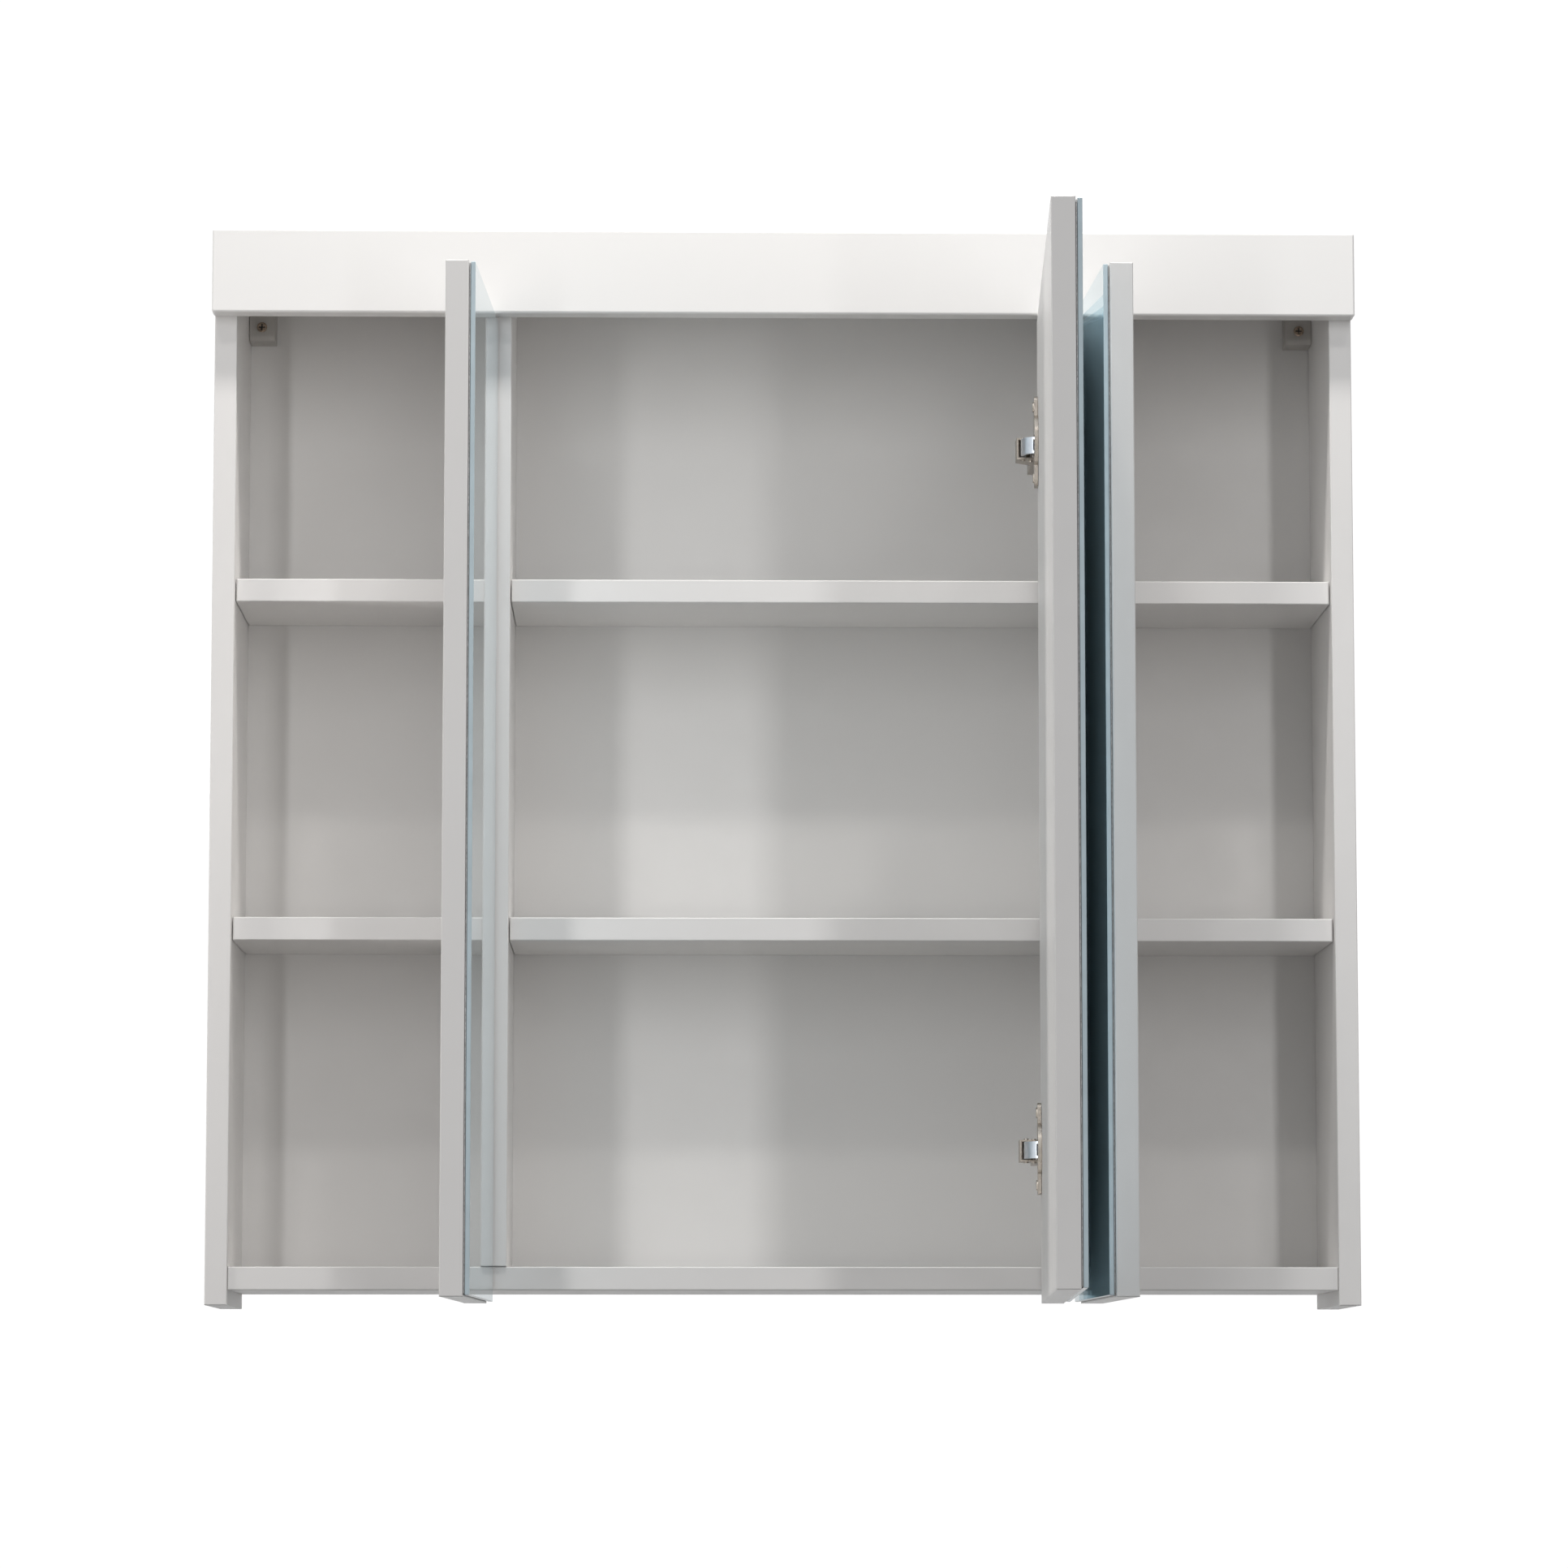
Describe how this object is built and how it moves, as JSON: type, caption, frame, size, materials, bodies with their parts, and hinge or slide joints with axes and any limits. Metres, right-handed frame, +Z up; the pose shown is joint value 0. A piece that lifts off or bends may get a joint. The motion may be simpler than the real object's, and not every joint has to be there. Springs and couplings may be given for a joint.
{
  "type": "hanging wall cabinet",
  "caption": "White hanging mirror cabinet with a deep fascia, inner shelves and partitions, and mirrored doors standing open on concealed hinges.",
  "frame": {"origin": "middle of the top panel's rear edge face, on the wall plane, half the panel's thickness below its upper face", "axes": "+X to the cabinet's right seen from the front, +Y into the wall, +Z up; the doors open towards -Y"},
  "size_m": [0.77, 0.5029, 0.722],
  "materials": {
    "board_white": "white satin coating on particle board, soft sheen",
    "back_white": "thin white fibreboard, low sheen",
    "fascia_white": "white lacquered board, semi-gloss, flawless",
    "door_white": "white satin coating on particle board",
    "mirror_glass": "silvered mirror glass, polished edges",
    "tape_grey": "dark grey mounting foam, matt",
    "hinge_nickel": "nickel plated pressed steel, warm, bright on its bends",
    "link_bright": "bright plated steel, smooth",
    "cover_plastic": "light grey moulded plastic, matt",
    "screw_bronze": "brown-grey passivated steel, worn on the cross"
  },
  "bodies": {
    "carcass": {"side_panel_left": "board_white", "partition_left": "board_white", "side_panel_right": "board_white", "partition_right": "board_white", "bottom_panel": "board_white", "top_panel": "board_white", "back_panel": "back_white", "shelf_lower_left": "board_white", "shelf_lower_middle": "board_white", "shelf_lower_right": "board_white", "shelf_upper_left": "board_white", "shelf_upper_middle": "board_white", "shelf_upper_right": "board_white", "fascia": "fascia_white", "hanger_cover_left": "cover_plastic", "hanger_hook_left": "hinge_nickel", "hanger_screw_left": "screw_bronze", "hanger_cover_right": "cover_plastic", "hanger_hook_right": "hinge_nickel", "hanger_screw_right": "screw_bronze", "mounting_plate_left_lower": "hinge_nickel", "hinge_arm_left_lower": "hinge_nickel", "mounting_plate_left_upper": "hinge_nickel", "hinge_arm_left_upper": "hinge_nickel", "mounting_plate_middle_lower": "hinge_nickel", "hinge_arm_middle_lower": "hinge_nickel", "mounting_plate_middle_upper": "hinge_nickel", "hinge_arm_middle_upper": "hinge_nickel", "mounting_plate_right_lower": "hinge_nickel", "hinge_arm_right_lower": "hinge_nickel", "mounting_plate_right_upper": "hinge_nickel", "hinge_arm_right_upper": "hinge_nickel"},
    "door_left": {"door_left": "door_white", "mirror_tape_left": "tape_grey", "mirror_left": "mirror_glass", "hinge_cup_left_lower": "hinge_nickel", "hinge_cup_left_upper": "hinge_nickel"},
    "outer_links_left": {"outer_link_left_lower": "link_bright", "outer_link_left_upper": "link_bright"},
    "inner_links_left": {"inner_link_left_lower": "link_bright", "inner_link_left_upper": "link_bright"},
    "door_middle": {"door_middle": "door_white", "mirror_tape_middle": "tape_grey", "mirror_middle": "mirror_glass", "hinge_cup_middle_lower": "hinge_nickel", "hinge_cup_middle_upper": "hinge_nickel"},
    "outer_links_middle": {"outer_link_middle_lower": "link_bright", "outer_link_middle_upper": "link_bright"},
    "inner_links_middle": {"inner_link_middle_lower": "link_bright", "inner_link_middle_upper": "link_bright"},
    "door_right": {"door_right": "door_white", "mirror_tape_right": "tape_grey", "mirror_right": "mirror_glass", "hinge_cup_right_lower": "hinge_nickel", "hinge_cup_right_upper": "hinge_nickel"},
    "outer_links_right": {"outer_link_right_lower": "link_bright", "outer_link_right_upper": "link_bright"},
    "inner_links_right": {"inner_link_right_lower": "link_bright", "inner_link_right_upper": "link_bright"}
  },
  "joints": [
    {"name": "door_left_hinge", "type": "hinge", "parent": "carcass", "child": "door_left", "pos_m": [-0.20451, -0.13596, -0.60955], "axis": [0, 0, 1], "range_deg": [-87.5, 5]},
    {"name": "outer_links_left_pivot", "type": "hinge", "parent": "carcass", "child": "outer_links_left", "pos_m": [-0.2215, -0.121, -0.60955], "axis": [0, 0, 1], "range_deg": [-3.9, 0.4]},
    {"name": "inner_links_left_pivot", "type": "hinge", "parent": "carcass", "child": "inner_links_left", "pos_m": [-0.2161, -0.118, -0.60955], "axis": [0, 0, 1], "range_deg": [-0.8, 9.1]},
    {"name": "door_middle_hinge", "type": "hinge", "parent": "carcass", "child": "door_middle", "pos_m": [0.17849, -0.13596, -0.60955], "axis": [0, 0, 1], "range_deg": [-87.5, 2.5]},
    {"name": "outer_links_middle_pivot", "type": "hinge", "parent": "carcass", "child": "outer_links_middle", "pos_m": [0.1615, -0.121, -0.60955], "axis": [0, 0, 1], "range_deg": [-3.9, 0.4]},
    {"name": "inner_links_middle_pivot", "type": "hinge", "parent": "carcass", "child": "inner_links_middle", "pos_m": [0.1669, -0.118, -0.60955], "axis": [0, 0, 1], "range_deg": [-0.8, 9.1]},
    {"name": "door_right_hinge", "type": "hinge", "parent": "carcass", "child": "door_right", "pos_m": [0.20451, -0.13596, -0.60955], "axis": [0, 0, -1], "range_deg": [-87.5, 2.5]},
    {"name": "outer_links_right_pivot", "type": "hinge", "parent": "carcass", "child": "outer_links_right", "pos_m": [0.2215, -0.121, -0.60955], "axis": [0, 0, -1], "range_deg": [-3.9, 0.4]},
    {"name": "inner_links_right_pivot", "type": "hinge", "parent": "carcass", "child": "inner_links_right", "pos_m": [0.2161, -0.118, -0.60955], "axis": [0, 0, -1], "range_deg": [-0.8, 9.1]}
  ],
  "couplings": [
    {"joint": "outer_links_left_pivot", "follows": "door_left_hinge", "ratio": 0.0429},
    {"joint": "inner_links_left_pivot", "follows": "door_left_hinge", "ratio": -0.1018},
    {"joint": "outer_links_middle_pivot", "follows": "door_middle_hinge", "ratio": 0.0429},
    {"joint": "inner_links_middle_pivot", "follows": "door_middle_hinge", "ratio": -0.1018},
    {"joint": "outer_links_right_pivot", "follows": "door_right_hinge", "ratio": 0.0429},
    {"joint": "inner_links_right_pivot", "follows": "door_right_hinge", "ratio": -0.1018}
  ]
}
